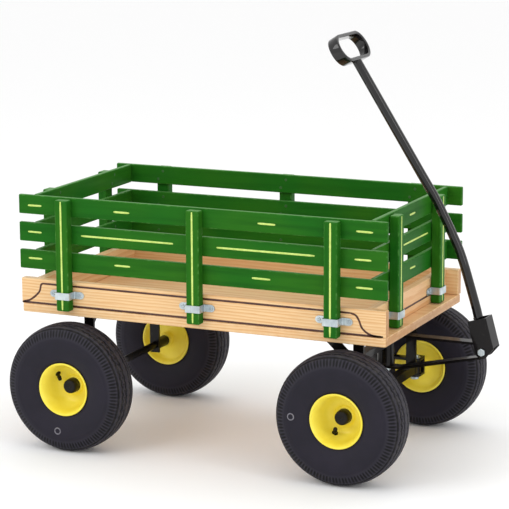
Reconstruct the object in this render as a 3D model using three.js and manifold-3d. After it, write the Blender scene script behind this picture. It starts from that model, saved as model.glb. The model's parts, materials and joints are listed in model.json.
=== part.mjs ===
// Garden cart: a wooden tray with four lift-off stake racks, on a steel undercarriage
// with kingpin steering, four pneumatic wheels and a pull handle.
// Millimetres. +X is the front, +Y the left side, +Z up, and Z = 0 is the ground.
import * as THREE from "three";
import { mergeVertices } from "three/addons/utils/BufferGeometryUtils.js";
import Module from "manifold-3d";

const wasm = await Module();
wasm.setup();

// ---------------------------------------------------------------- driving sizes
const seat = 0.2; // gap between pieces that rest against each other
const runGap = 0.5; // radial clearance of a pin in its hole

const bed = { length: 810, width: 442, thickness: 18, corner: 7, overTyres: 11 };
const board = { height: 54, thickness: 18, chamfer: 2.5 };
const endInset = 28; // from the bed's end to the outer face of its end board

const rail = { height: 40, pitch: 57.5, thickness: 10, count: 3, chamfer: 2 };
const rack = { rise: 229.5, overBed: 2, cornerGap: 3 }; // over the deck, and past its ends
const stake = { width: 29, thickness: 21, belowTop: 3, chamfer: 3 };
const sideStakes = { inset: 108, belowDeck: 5 }; // from the bed's ends, and under the deck's top
const endStakes = { spacing: 243, clearOfBed: 1 };

const strap = { thickness: 2, height: 15, tab: 22, slide: 0.8 }; // stake strap and its clearance

const wheel = { radius: 134, width: 82, sides: 20 };
const pinSides = 16; // facets of a pin and of its hole
const wheelbase = 606;
const rearOverhang = 120; // bed's rear end to the rear axle
const track = 472;
const axle = { radius: 8 };
const hub = { radius: 16, inner: -38, face: -12 }; // along the axle, outboard of the wheel's centre

// low and rise are heights over the axle from here on
const leg = { inset: 22, width: 22, thickness: 6 }; // inset from the kingpin's axis
const plate = { thickness: 6, width: 40, pastLegs: 25 };
const kingpin = { spacing: 344, radius: 6, tubeRadius: 13, tubeLow: -6, tubeHeight: 26 };
const yoke = { thickness: 6, gap: 1, clear: 5, halfWidth: 14 };
const steerArm = 62; // kingpin to tie bar, rearward
const pivot = { radius: 6, tubeRadius: 17, low: 53, height: 61.6 };
const crossBeam = { low: 94, height: 15 };
const armBar = { width: 25, thickness: 5 };
const tieBar = { thickness: 5, overArm: 5, pinRadius: 5 };

const handlePin = { ahead: 128, rise: 103, radius: 5 }; // ahead of the bed, and over the axle
const bushing = { radius: 12, length: 30 };
const clevis = { thickness: 3, behind: 14, ahead: 26, length: 66, lip: 1 }; // round the pin
const shaft = { radius: 9.5 };
const loop = { width: 144, height: 61, depth: 24, wall: 7.5 };

// ---------------------------------------------------------------- worked-out places
const bedFront = bed.length / 2;
const sideFace = bed.width / 2; // outer face of the side boards
const endFace = bedFront - endInset; // outer face of the end boards
const axleZ = wheel.radius; // a flat of the faceted tyre meets the ground
const deckBottom = 2 * wheel.radius + bed.overTyres;
const bedTop = deckBottom + bed.thickness;
const strapZ = bedTop + board.height / 2;
const rackTop = bedTop + rack.rise;
const rearX = -bedFront + rearOverhang;
const frontX = rearX + wheelbase;
const legSpacing = kingpin.spacing - 2 * leg.inset;
const plateLength = legSpacing + 2 * plate.pastLegs;
const tubeLow = axleZ + kingpin.tubeLow;
const tubeTop = tubeLow + kingpin.tubeHeight;
const pivotLow = axleZ + pivot.low;
const pivotHigh = pivotLow + pivot.height;
const pinX = bedFront + handlePin.ahead;
const pinZ = axleZ + handlePin.rise;
const stakeInner = strap.slide; // stake's inner face, out from the board's face
const railOuter = stakeInner - seat; // rail's outer face, out from the board's face

// ---------------------------------------------------------------- materials
const finish = (name, color, roughness, metalness = 0) =>
  new THREE.MeshStandardMaterial({ name, color, roughness, metalness });
const pine = finish("pine_wood", 0xe8c795, 0.5);
const greenWood = finish("green_wood", 0x2f6b2a, 0.5);
const zinc = finish("zinc_steel", 0xb4bcc4, 0.35, 1);
const blackSteel = finish("black_steel", 0x15161a, 0.4, 0.4);
const yellowSteel = finish("yellow_steel", 0xe6d63c, 0.35, 0.2);
const tyreRubber = finish("tyre_rubber", 0x2b2d35, 0.85);
const blackPlastic = finish("black_plastic", 0x101012, 0.45);

const cart = new THREE.Group();
cart.name = "garden_cart";

// ---------------------------------------------------------------- shape helpers
function add(name, geometry, material) {
  const mesh = new THREE.Mesh(geometry, material);
  mesh.name = name;
  cart.add(mesh);
  return mesh;
}

// A box between two corners.
function box([x0, y0, z0], [x1, y1, z1]) {
  return new THREE.BoxGeometry(x1 - x0, y1 - y0, z1 - z0).translate(
    (x0 + x1) / 2,
    (y0 + y1) / 2,
    (z0 + z1) / 2,
  );
}

// A box between two corners with every edge chamfered.
function planed([x0, y0, z0], [x1, y1, z1], c) {
  const a = (x1 - x0) / 2 - c,
    b = (y1 - y0) / 2 - c;
  const outline = new THREE.Shape([
    new THREE.Vector2(-a, -b + c),
    new THREE.Vector2(-a + c, -b),
    new THREE.Vector2(a - c, -b),
    new THREE.Vector2(a, -b + c),
    new THREE.Vector2(a, b - c),
    new THREE.Vector2(a - c, b),
    new THREE.Vector2(-a + c, b),
    new THREE.Vector2(-a, b - c),
  ]);
  return new THREE.ExtrudeGeometry(outline, {
    depth: z1 - z0 - 2 * c,
    bevelThickness: c,
    bevelSize: c,
    bevelSegments: 1,
  }).translate((x0 + x1) / 2, (y0 + y1) / 2, z0 + c);
}

// A flat bar cut from an XZ outline, centred on y.
function barXZ(points, y, thickness) {
  const outline = new THREE.Shape(points.map(([x, z]) => new THREE.Vector2(x, z)));
  return new THREE.ExtrudeGeometry(outline, { depth: thickness, bevelEnabled: false })
    .rotateX(Math.PI / 2)
    .translate(0, y + thickness / 2, 0);
}

// A flat plate cut from an XY outline, resting at z.
function plateXY(shape, z, thickness, curveSegments = 8) {
  return new THREE.ExtrudeGeometry(shape, {
    depth: thickness,
    bevelEnabled: false,
    curveSegments,
  }).translate(0, 0, z);
}

// A bar in plan with round ends, between two points.
function roundBar([x0, y0], [x1, y1], halfWidth) {
  const along = Math.atan2(y1 - y0, x1 - x0);
  const shape = new THREE.Shape();
  shape.absarc(x1, y1, halfWidth, along - Math.PI / 2, along + Math.PI / 2, false);
  shape.absarc(x0, y0, halfWidth, along + Math.PI / 2, along + 1.5 * Math.PI, false);
  return shape;
}

function upright(x, y, z0, z1, radius, sides = pinSides) {
  return new THREE.CylinderGeometry(radius, radius, z1 - z0, sides)
    .rotateX(Math.PI / 2)
    .translate(x, y, (z0 + z1) / 2);
}

function crossways(x, y0, y1, z, radius, sides = pinSides) {
  return new THREE.CylinderGeometry(radius, radius, y1 - y0, sides).translate(
    x,
    (y0 + y1) / 2,
    z,
  );
}

// A closed (radius, along) outline turned about Y. Its facets' middles, not their corners, lie at
// the outline's radius, and one facet faces the ground.
function turned(outline, sides = wheel.sides) {
  const toCorner = 1 / Math.cos(Math.PI / sides);
  const area = outline.reduce((sum, [r, y], i) => {
    const [r2, y2] = outline[(i + 1) % outline.length];
    return sum + r * y2 - r2 * y;
  }, 0);
  const points = area > 0 ? outline : [...outline].reverse();
  return new THREE.LatheGeometry(
    [...points, points[0]].map(([r, y]) => new THREE.Vector2(r * toCorner, y)),
    sides,
    Math.PI / sides,
  );
}

function toSolid(geometry) {
  const g = geometry.clone();
  g.deleteAttribute("normal");
  g.deleteAttribute("uv");
  const merged = mergeVertices(g, 1e-3);
  return new wasm.Manifold(
    new wasm.Mesh({
      numProp: 3,
      vertProperties: new Float32Array(merged.attributes.position.array),
      triVerts: new Uint32Array(merged.index.array),
    }),
  );
}

function toGeometry(solid) {
  const mesh = solid.getMesh();
  const g = new THREE.BufferGeometry();
  g.setAttribute("position", new THREE.BufferAttribute(mesh.vertProperties, 3));
  g.setIndex(new THREE.BufferAttribute(mesh.triVerts, 1));
  g.computeVertexNormals();
  return g;
}

// The first list of geometries joined into one, less the second list.
function made(joined, removed = []) {
  let solid = joined.map(toSolid).reduce((a, b) => a.add(b));
  for (const r of removed) solid = solid.subtract(toSolid(r));
  return toGeometry(solid);
}

// ---------------------------------------------------------------- tray
const plan = new THREE.Shape();
{
  const [a, b, r] = [bedFront, sideFace, bed.corner];
  plan.absarc(a - r, b - r, r, 0, Math.PI / 2, false);
  plan.absarc(-a + r, b - r, r, Math.PI / 2, Math.PI, false);
  plan.absarc(-a + r, -b + r, r, Math.PI, 1.5 * Math.PI, false);
  plan.absarc(a - r, -b + r, r, 1.5 * Math.PI, 2 * Math.PI, false);
}
add("deck", plateXY(plan, deckBottom, bed.thickness - seat, 5), pine);

for (const [side, s] of [["left", 1], ["right", -1]]) {
  const y = [s * (sideFace - board.thickness), s * sideFace].sort((a, b) => a - b);
  add(
    side + "_side_board",
    planed([-bedFront, y[0], bedTop], [bedFront, y[1], bedTop + board.height], board.chamfer),
    pine,
  );
}
for (const [end, s] of [["front", 1], ["rear", -1]]) {
  const x = [s * (endFace - board.thickness), s * endFace].sort((a, b) => a - b);
  const half = sideFace - board.thickness - seat;
  add(
    end + "_board",
    planed([x[0], -half, bedTop], [x[1], half, bedTop + board.height], board.chamfer),
    pine,
  );
}

// ---------------------------------------------------------------- racks and their straps
// A rack is drawn as if on a side, standing out along +Y from a board face at y = 0, then turned
// to its own side and set out to its board face.
const railZ = (i) => rackTop - i * rail.pitch; // top edge of rail i

function place(geometry, turn, out) {
  return geometry.translate(0, out, 0).rotateZ(turn);
}

function strapAt(x) {
  const half = stake.width / 2 + strap.slide;
  const deep = strap.slide + stake.thickness + strap.slide;
  const [t, h, tab] = [strap.thickness, strap.height, strap.tab];
  const loopShape = new THREE.Shape(
    [
      [-half - t - tab + h / 2, seat],
      [-half, seat],
      [-half, deep],
      [half, deep],
      [half, seat],
      [half + t + tab - h / 2, seat],
      [half + t + tab - h / 2, seat + t],
      [half + t, seat + t],
      [half + t, deep + t - 2],
      [half + t - 2, deep + t],
      [-half - t + 2, deep + t],
      [-half - t, deep + t - 2],
      [-half - t, seat + t],
      [-half - t - tab + h / 2, seat + t],
    ].map(([a, b]) => new THREE.Vector2(a, b)),
  );
  const band = plateXY(loopShape, strapZ - h / 2, h);
  const ends = [-1, 1].map((s) =>
    crossways(s * (half + t + tab - h / 2), seat, seat + t, strapZ, h / 2, 16),
  );
  return made([band, ...ends]).translate(x, 0, 0);
}

function buildRack(rackName, turn, boardFace, railLength, stakeXs, stakeBottom) {
  const railNames = ["top", "middle", "bottom"];
  for (let i = 0; i < rail.count; i++) {
    const top = railZ(i);
    add(
      `${rackName}_rack_${railNames[i]}_rail`,
      place(
        planed(
          [-railLength / 2, railOuter - rail.thickness, top - rail.height],
          [railLength / 2, railOuter, top],
          rail.chamfer,
        ),
        turn,
        boardFace,
      ),
      greenWood,
    );
  }
  for (const [name, x] of stakeXs) {
    add(
      `${rackName}_rack_${name}_stake`,
      place(
        planed(
          [x - stake.width / 2, stakeInner, stakeBottom],
          [x + stake.width / 2, stakeInner + stake.thickness, rackTop - stake.belowTop],
          stake.chamfer,
        ),
        turn,
        boardFace,
      ),
      greenWood,
    );
    add(`${rackName}_${name}_stake_strap`, place(strapAt(x), turn, boardFace), zinc);
  }
}

const endRailLength =
  2 * (sideFace + railOuter - rail.thickness - rack.cornerGap);
const sideRailLength = bed.length + 2 * rack.overBed;
const sideStakeX = bedFront - sideStakes.inset;
const sideBottom = bedTop - sideStakes.belowDeck;
const endStakeX = endStakes.spacing / 2;
const endBottom = bedTop + endStakes.clearOfBed;
// Turned by half a turn, the right rack's +x runs rearward; the ends' +x runs across.
const threeStakes = (s) => [["front", s * sideStakeX], ["centre", 0], ["rear", -s * sideStakeX]];
const twoStakes = (s) => [["left", s * endStakeX], ["right", -s * endStakeX]];
buildRack("left", 0, sideFace, sideRailLength, threeStakes(1), sideBottom);
buildRack("right", Math.PI, sideFace, sideRailLength, threeStakes(-1), sideBottom);
buildRack("front", -Math.PI / 2, endFace, endRailLength, twoStakes(-1), endBottom);
buildRack("rear", Math.PI / 2, endFace, endRailLength, twoStakes(1), endBottom);

// ---------------------------------------------------------------- wheels
// Outlines are (radius, along the axle), outboard positive.
const bead = 51.3; // tyre's inner radius at the rim's bead seat
const tyreHalf = [
  [bead, 21],
  [bead, 25.2],
  [bead + 6.7, 33.2],
  [bead + 22.7, 40],
  [wheel.radius - 42, wheel.width / 2],
  [wheel.radius - 18, 35],
  [wheel.radius - 5, 24],
  [wheel.radius, 9],
];
const liningHalf = [
  [wheel.radius - 13, 15],
  [bead + 28.7, 34],
];
const mirrored = (half) => half.map(([r, y]) => [r, -y]).reverse();
const tyreOutline = [
  ...tyreHalf,
  ...mirrored(tyreHalf),
  ...mirrored(liningHalf),
  ...liningHalf,
];
const rimOutline = [
  [axle.radius + runGap, hub.inner],
  [hub.radius, hub.inner],
  [hub.radius, -20],
  [38, -17],
  [46, -16.5],
  [46.2, -27],
  [50, -31.5],
  [55.5, -35],
  [57, -33],
  [53.3, -29.5],
  [50.8, -25],
  [48.8, 0],
  [50.8, 25],
  [53.3, 29.5],
  [57, 33],
  [55.5, 35.2],
  [50, 30.5],
  [47.4, 12],
  [45, -5],
  [38, -13.5],
  [21.5, -16.8],
  [19.5, hub.face],
  [axle.radius + runGap, hub.face],
];
const capLength = 20;
const capOutline = [
  [10, hub.face + seat],
  [17, hub.face + seat],
  [16, hub.face + capLength - 4],
  [12.5, hub.face + capLength],
  [0.01, hub.face + capLength],
  [0.01, hub.face + 9],
  [10, hub.face + 9],
];

for (const [end, x] of [["front", frontX], ["rear", rearX]])
  for (const [side, s] of [["left", 1], ["right", -1]]) {
    const set = (outline, sides) =>
      turned(outline.map(([r, y]) => [r, s * y]), sides).translate(x, (s * track) / 2, axleZ);
    add(`${end}_${side}_tyre`, set(tyreOutline), tyreRubber);
    add(`${end}_${side}_rim`, set(rimOutline), yellowSteel);
    add(`${end}_${side}_hub_cap`, set(capOutline, pinSides), blackPlastic);
  }

// ---------------------------------------------------------------- rear undercarriage
const legTop = deckBottom - seat;
const axleEnd = track / 2 + hub.face + 6; // axle's end, inside the hub cap
const hubInnerEnd = track / 2 + hub.inner - runGap;
{
  const x = rearX;
  const top = box(
    [x - plate.width / 2, -plateLength / 2, legTop - plate.thickness],
    [x + plate.width / 2, plateLength / 2, legTop],
  );
  const legs = [-1, 1].map((s) =>
    box(
      [x - leg.width / 2, (s * legSpacing) / 2 - leg.thickness / 2, axleZ - 16],
      [x + leg.width / 2, (s * legSpacing) / 2 + leg.thickness / 2, legTop - 1],
    ),
  );
  const gussets = [-1, 1].map((s) =>
    new THREE.ExtrudeGeometry(
      new THREE.Shape([
        new THREE.Vector2(0, 0),
        new THREE.Vector2(-s * 45, 0),
        new THREE.Vector2(0, -45),
      ]),
      { depth: leg.thickness, bevelEnabled: false },
    )
      .rotateX(Math.PI / 2)
      .rotateZ(Math.PI / 2)
      .translate(x - leg.thickness / 2, (s * legSpacing) / 2, legTop - plate.thickness + 1),
  );
  const bores = [crossways(x, -legSpacing, legSpacing, axleZ, axle.radius + runGap)];
  add("rear_axle_bracket", made([top, ...legs, ...gussets], bores), blackSteel);

  const rod = crossways(x, -axleEnd, axleEnd, axleZ, axle.radius);
  const collars = [-1, 1].map((s) => {
    const a = s * (legSpacing / 2 + leg.thickness / 2 + seat),
      b = s * hubInnerEnd;
    return crossways(x, Math.min(a, b), Math.max(a, b), axleZ, axle.radius + 4);
  });
  add("rear_axle", made([rod, ...collars]), blackSteel);
}

// ---------------------------------------------------------------- front undercarriage
{
  const x = frontX;
  const footX = x - 68; // where the braces meet the bed
  const top = box(
    [x - plate.width / 2, -plateLength / 2, legTop - plate.thickness],
    [x + plate.width / 2, plateLength / 2, legTop],
  );
  const pieces = [top];
  for (const s of [-1, 1]) {
    const y = (s * legSpacing) / 2;
    const [y0, y1] = [y - leg.thickness / 2, y + leg.thickness / 2];
    // upright, brace and the shoe the brace is welded to
    pieces.push(box([x - leg.width / 2, y0, tubeLow + 3], [x + leg.width / 2, y1, legTop - 1]));
    pieces.push(
      barXZ(
        [
          [footX - 15, legTop - 3],
          [footX + 15, legTop - 3],
          [x, axleZ + 92],
          [x, axleZ + 64],
        ],
        y,
        leg.thickness,
      ),
    );
    pieces.push(
      box(
        [footX - 22, y - 13, legTop - plate.thickness],
        [x, y + 13, legTop],
      ),
    );
    pieces.push(
      upright(
        x,
        (s * kingpin.spacing) / 2,
        tubeLow,
        tubeTop,
        kingpin.tubeRadius,
      ),
    );
  }
  const beamLow = axleZ + crossBeam.low;
  const beamHalf = kingpin.spacing / 2 - kingpin.radius - 3;
  pieces.push(box([x - 10, -beamHalf, tubeLow + 3], [x + 10, beamHalf, tubeTop - 3]));
  pieces.push(
    box(
      [x - leg.width / 2, -legSpacing / 2, beamLow],
      [x + leg.width / 2, legSpacing / 2, beamLow + crossBeam.height],
    ),
  );
  pieces.push(upright(x, 0, pivotLow, pivotHigh, pivot.tubeRadius));
  const bores = [upright(x, 0, pivotLow - 20, pivotHigh + 10, pivot.radius + runGap)];
  for (const s of [-1, 1])
    bores.push(
      upright(x, (s * kingpin.spacing) / 2, tubeLow - 5, tubeTop + 5, kingpin.radius + runGap),
    );
  add("front_axle_bracket", made(pieces, bores), blackSteel);
}

const armTop = pivotLow - runGap; // top of the tongue's lower bar at the pivot
const armLow = armTop - armBar.thickness;
const tieX = frontX - steerArm;
const yokeTop = tubeTop + yoke.gap;
const tieLow = yokeTop + yoke.thickness + tieBar.overArm;

for (const [side, s] of [["left", 1], ["right", -1]]) {
  const y = (s * kingpin.spacing) / 2;
  const outY = y + s * (kingpin.tubeRadius + yoke.clear); // back plate's inner face
  const span = (a, b) => [Math.min(a, b), Math.max(a, b)];
  const [p0, p1] = span(outY, outY + s * yoke.thickness);
  const [l0, l1] = span(y, outY + s * yoke.thickness);
  const low = tubeLow - yoke.gap - yoke.thickness;
  const high = yokeTop + yoke.thickness;
  const lug = (z) => [
    box([frontX - yoke.halfWidth, l0, z], [frontX + yoke.halfWidth, l1, z + yoke.thickness]),
    upright(frontX, y, z, z + yoke.thickness, yoke.halfWidth),
  ];
  const [b0, b1] = span(outY + (s * yoke.thickness) / 2, s * axleEnd);
  const [c0, c1] = span(outY + (s * yoke.thickness) / 2, s * hubInnerEnd);
  add(
    side + "_steering_knuckle",
    made(
      [
        box([frontX - yoke.halfWidth, p0, low], [frontX + yoke.halfWidth, p1, high]),
        ...lug(low),
        ...lug(yokeTop),
        upright(frontX, y, low - 6, high + 6, kingpin.radius),
        plateXY(roundBar([frontX, y], [tieX, y], 10), yokeTop, yoke.thickness),
        crossways(frontX, b0, b1, axleZ, axle.radius),
        crossways(frontX, c0, c1, axleZ, axle.radius + 4),
      ],
      [upright(tieX, y, yokeTop - 5, yokeTop + 20, tieBar.pinRadius + runGap)],
    ),
    blackSteel,
  );
}

// The tie bar: end pins down into the knuckles' arms, and a middle pin up into the tongue's arm.
{
  const halfSpan = kingpin.spacing / 2;
  const bar = plateXY(roundBar([tieX, -halfSpan], [tieX, halfSpan], 10), tieLow, tieBar.thickness);
  const pins = [
    upright(tieX, 0, tieLow + 1, armTop + 5, tieBar.pinRadius),
    ...[-1, 1].map((s) =>
      upright(tieX, s * halfSpan, yokeTop - 5, tieLow + 1, tieBar.pinRadius),
    ),
  ];
  add("tie_bar", made([bar, ...pins]), blackSteel);
}

// ---------------------------------------------------------------- tongue
const upperLow = pivotHigh + seat; // underside of the upper bar
{
  const h = armBar.width / 2;
  const upper = plateXY(
    roundBar([frontX, 0], [pinX - 2, 0], h),
    upperLow,
    armBar.thickness,
  );
  const eye = plateXY(roundBar([frontX, 0], [frontX + 40, 0], h), armLow, armBar.thickness);
  const arm = plateXY(roundBar([frontX, 0], [tieX, 0], 11), armLow, armBar.thickness);
  const bendX = frontX + 30;
  const rise = barXZ(
    [
      [bendX, armLow],
      [bendX + 6, armLow],
      [pinX, pinZ - bushing.radius - armBar.thickness + 1],
      [pinX, pinZ - bushing.radius + 1],
      [bendX, armTop],
    ],
    0,
    armBar.width,
  );
  const bush = crossways(pinX, -bushing.length / 2, bushing.length / 2, pinZ, bushing.radius);
  const holes = [
    upright(frontX, 0, armLow - 20, upperLow + 20, pivot.radius + runGap),
    upright(tieX, 0, armLow - 10, armTop + 10, tieBar.pinRadius + runGap),
    crossways(pinX, -30, 30, pinZ, handlePin.radius + runGap),
  ];
  add("tongue", made([upper, eye, arm, rise, bush], holes), blackSteel);

  const head = upright(frontX, 0, upperLow + armBar.thickness + seat, upperLow + armBar.thickness + 7, 10.5, 6);
  const shank = upright(frontX, 0, armLow - 9, upperLow + armBar.thickness + 1, pivot.radius);
  const nut = upright(frontX, 0, armLow - 7, armLow - seat, 10.5, 6);
  add("tongue_kingpin", made([head, shank, nut]), zinc);
}

// ---------------------------------------------------------------- handle
// Centre line of the shaft from inside the clevis up to the loop, ahead of and over the pin.
const shaftLine = [
  [-6.5, 31],
  [-15, 69],
  [-24, 101],
  [-49, 180],
  [-68, 224],
  [-106, 297],
  [-144, 357],
  [-260, 540],
  [-280, 571.5],
];
const lean = Math.atan2(19, 69); // clevis's lean back from upright
const shaftEnd = shaftLine[shaftLine.length - 1];
const straightFrom = shaftLine[shaftLine.length - 3];
const loopLean = Math.atan2(straightFrom[0] - shaftEnd[0], shaftEnd[1] - straightFrom[1]);
{
  const [cx, cz] = [pinX, pinZ];
  const inner = bushing.length / 2 + 1.2; // inner face of a clevis cheek
  const t = clevis.thickness;
  // Drawn upright over the pin, then leaned back: front web and two cheeks.
  const cheekShape = () => {
    const c = new THREE.Shape();
    c.moveTo(-clevis.behind, 0);
    c.absarc(0, 0, clevis.behind, Math.PI, 1.75 * Math.PI, false);
    c.lineTo(clevis.ahead, clevis.lip);
    c.lineTo(clevis.ahead, clevis.length);
    c.lineTo(-clevis.behind, clevis.length);
    return c;
  };
  const cheeks = [-1, 1].map((s) =>
    new THREE.ExtrudeGeometry(cheekShape(), { depth: t, bevelEnabled: false, curveSegments: 8 })
      .rotateX(Math.PI / 2)
      .translate(0, s > 0 ? inner + t : -inner, 0),
  );
  const web = box(
    [clevis.ahead - t, -inner - t / 2, clevis.lip + 2],
    [clevis.ahead, inner + t / 2, clevis.length],
  );
  const hole = crossways(0, -40, 40, 0, handlePin.radius + runGap);
  const clevisSolid = made([...cheeks, web], [hole])
    .rotateY(-lean)
    .translate(cx, 0, cz);
  add("handle_clevis", clevisSolid, blackSteel);

  const shankHalf = inner + t;
  const head = crossways(cx, -shankHalf - 6, -shankHalf - seat, cz, 9, 6);
  const nut = crossways(cx, shankHalf + seat, shankHalf + 8, cz, 9, 6);
  const shank = crossways(cx, -shankHalf - 1, shankHalf + 10, cz, handlePin.radius);
  add("handle_bolt", made([head, nut, shank]), zinc);

  // Shaft with a foot block that fills the clevis, and the loop grip welded to its top.
  const curve = new THREE.CatmullRomCurve3(
    shaftLine.map(([x, z]) => new THREE.Vector3(cx + x, 0, cz + z)),
    false,
    "catmullrom",
    0.5,
  );
  const circle = new THREE.Shape();
  circle.absarc(0, 0, shaft.radius, 0, 2 * Math.PI, false);
  const tube = new THREE.ExtrudeGeometry(circle, {
    extrudePath: curve,
    steps: 18,
    curveSegments: 6,
    bevelEnabled: false,
  });
  const foot = box([-9, -inner + seat, 34], [clevis.ahead - t - seat, inner - seat, clevis.length - 6])
    .rotateY(-lean)
    .translate(cx, 0, cz);
  const outer = new THREE.Shape();
  const [w, h, r] = [loop.width / 2, loop.height / 2, loop.height / 2 - 1];
  const stadium = (shape, a, b, rr) => {
    shape.absarc(a - rr, b - rr, rr, 0, Math.PI / 2, false);
    shape.absarc(-a + rr, b - rr, rr, Math.PI / 2, Math.PI, false);
    shape.absarc(-a + rr, -b + rr, rr, Math.PI, 1.5 * Math.PI, false);
    shape.absarc(a - rr, -b + rr, rr, 1.5 * Math.PI, 2 * Math.PI, false);
    return shape;
  };
  stadium(outer, w, h, r);
  outer.holes.push(stadium(new THREE.Path(), w - loop.wall, h - loop.wall, r - loop.wall));
  const grip = new THREE.ExtrudeGeometry(outer, {
    depth: loop.depth,
    bevelEnabled: false,
    curveSegments: 8,
  })
    .translate(0, h - 3, -loop.depth / 2) // drawn in XY, thickness along Z
    .rotateX(Math.PI / 2) // now upright in XZ
    .rotateZ(Math.PI / 2) // its long way runs across the cart
    .rotateY(-loopLean)
    .translate(cx + shaftEnd[0], 0, cz + shaftEnd[1]);
  add("pull_handle", made([tube, foot, grip]), blackSteel);
}

// The ground contact stays at Z = 0, and X and Y are centred on the whole cart.
const bounds = new THREE.Box3().setFromObject(cart);
cart.position.set(-(bounds.min.x + bounds.max.x) / 2, -(bounds.min.y + bounds.max.y) / 2, -bounds.min.z);

export default cart;
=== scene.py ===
"""Looks of the garden cart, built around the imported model.

Every piece is made in the frame's own coordinates: metres, +X to the front, +Y to the left, +Z up.
Wheel pieces are made about their hub and then set on it.
"""

import json
import math
import random

import bmesh
import bpy
from mathutils import Matrix, Vector


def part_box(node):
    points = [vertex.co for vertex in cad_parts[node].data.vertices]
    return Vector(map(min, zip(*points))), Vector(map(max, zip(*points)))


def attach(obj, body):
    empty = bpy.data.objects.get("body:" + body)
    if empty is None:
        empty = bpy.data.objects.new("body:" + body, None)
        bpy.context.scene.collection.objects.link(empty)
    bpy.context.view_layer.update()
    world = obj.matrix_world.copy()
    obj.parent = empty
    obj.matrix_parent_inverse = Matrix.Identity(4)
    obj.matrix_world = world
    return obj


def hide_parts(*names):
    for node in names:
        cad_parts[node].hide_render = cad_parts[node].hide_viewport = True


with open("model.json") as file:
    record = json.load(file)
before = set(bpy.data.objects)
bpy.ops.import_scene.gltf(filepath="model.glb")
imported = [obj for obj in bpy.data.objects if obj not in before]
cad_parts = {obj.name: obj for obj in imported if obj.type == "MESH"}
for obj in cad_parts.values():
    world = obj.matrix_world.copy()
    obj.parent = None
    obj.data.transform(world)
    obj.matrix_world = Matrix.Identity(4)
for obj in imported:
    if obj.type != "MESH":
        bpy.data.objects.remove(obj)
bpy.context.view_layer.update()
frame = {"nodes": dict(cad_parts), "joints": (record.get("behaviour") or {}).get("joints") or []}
MM = 0.001
JOINTS = {joint["name"]: joint for joint in frame["joints"]}

ENDS = ("front", "rear")
SIDES = {"left": 1, "right": -1}
FILM = 0.12 * MM  # how far a painted line stands over its board
SUNK = 0.3 * MM  # how far its underside lies in the board
BRUSH_STEP = 12 * MM
BRUSH_NOSE = 1.2 * MM


RACK_STAKES = {
    "left": ("front", "centre", "rear"),
    "right": ("front", "centre", "rear"),
    "front": ("left", "right"),
    "rear": ("left", "right"),
}
OUTWARD = {"left": (0, 1, 0), "right": (0, -1, 0), "front": (1, 0, 0), "rear": (-1, 0, 0)}
RAILS = ("top", "middle", "bottom")


def face_of(node, outward):
    """Where the node's outer face lies along the outward axis."""
    low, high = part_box(node)
    axis = 0 if outward[0] else 1
    return high[axis] if outward[axis] > 0 else low[axis]


def centre_of(node):
    low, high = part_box(node)
    return (low + high) / 2


bed = centre_of("deck")
PIN = Vector(JOINTS["handle_fold"]["pos_m"])
PIVOT = Vector(JOINTS["tongue_steer"]["pos_m"])


# ------------------------------------------------------------------ material graphs
class Graph:
    """A material's node tree, with short ways to add a node and join it up."""

    def __init__(self, name):
        self.material = bpy.data.materials.new(name)
        self.material.use_nodes = True
        self.tree = self.material.node_tree
        self.shader = self.tree.nodes["Principled BSDF"]

    def add(self, kind, inputs=(), **settings):
        node = self.tree.nodes.new("ShaderNode" + kind)
        for key, value in settings.items():
            setattr(node, key, value)
        for key, value in dict(inputs).items():
            self.feed(node.inputs[key], value)
        return node

    def feed(self, socket, value):
        if isinstance(value, bpy.types.NodeSocket):
            self.tree.links.new(value, socket)
        elif isinstance(value, (tuple, list)) and len(value) == 3 and socket.type == "RGBA":
            socket.default_value = (*value, 1)
        else:
            socket.default_value = value

    def coords(self, scale=(1, 1, 1), offset=(0, 0, 0)):
        where = self.add("TexCoord").outputs["Object"]
        inputs = {"Vector": where, "Scale": scale, "Location": offset}
        return self.add("Mapping", inputs).outputs["Vector"]

    def noise(self, vector, scale, detail=3, roughness=0.55):
        inputs = {"Vector": vector, "Scale": scale, "Detail": detail, "Roughness": roughness}
        return self.add("TexNoise", inputs).outputs["Fac"]

    def math(self, operation, a, b=0.5):
        return self.add("Math", {0: a, 1: b}, operation=operation).outputs[0]

    def fit(self, value, low, high, to_low=0.0, to_high=1.0):
        inputs = {"Value": value, 1: low, 2: high, 3: to_low, 4: to_high}
        return self.add("MapRange", inputs).outputs[0]

    def mix(self, factor, a, b):
        """From colour a to colour b by the factor."""
        node = self.add("Mix", data_type="RGBA")
        for index, value in ((0, factor), (6, a), (7, b)):
            self.feed(node.inputs[index], value)
        return node.outputs[2]

    def bump(self, height, distance, strength=1.0):
        inputs = {"Height": height, "Distance": distance, "Strength": strength}
        return self.add("Bump", inputs).outputs["Normal"]

    def attribute(self, name):
        """A number that the mesh carries at each vertex."""
        return self.add("Attribute", attribute_name=name).outputs["Fac"]

    def facing(self, axis):
        """How far the surface faces along an axis, -1 to 1."""
        normal = self.add("NewGeometry").outputs["Normal"]
        return self.add("SeparateXYZ", {"Vector": normal}).outputs[axis]

    def set(self, name, value):
        self.feed(self.shader.inputs[name], value)


def rgb(red, green, blue):
    """An sRGB colour, 0 to 255, as linear light."""
    parts = (c / 255 for c in (red, green, blue))
    return tuple(c / 12.92 if c <= 0.04045 else ((c + 0.055) / 1.055) ** 2.4 for c in parts)


GRAIN_STRETCH = {0: (0.06, 1, 1), 1: (1, 0.06, 1), 2: (1, 1, 0.06)}


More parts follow.
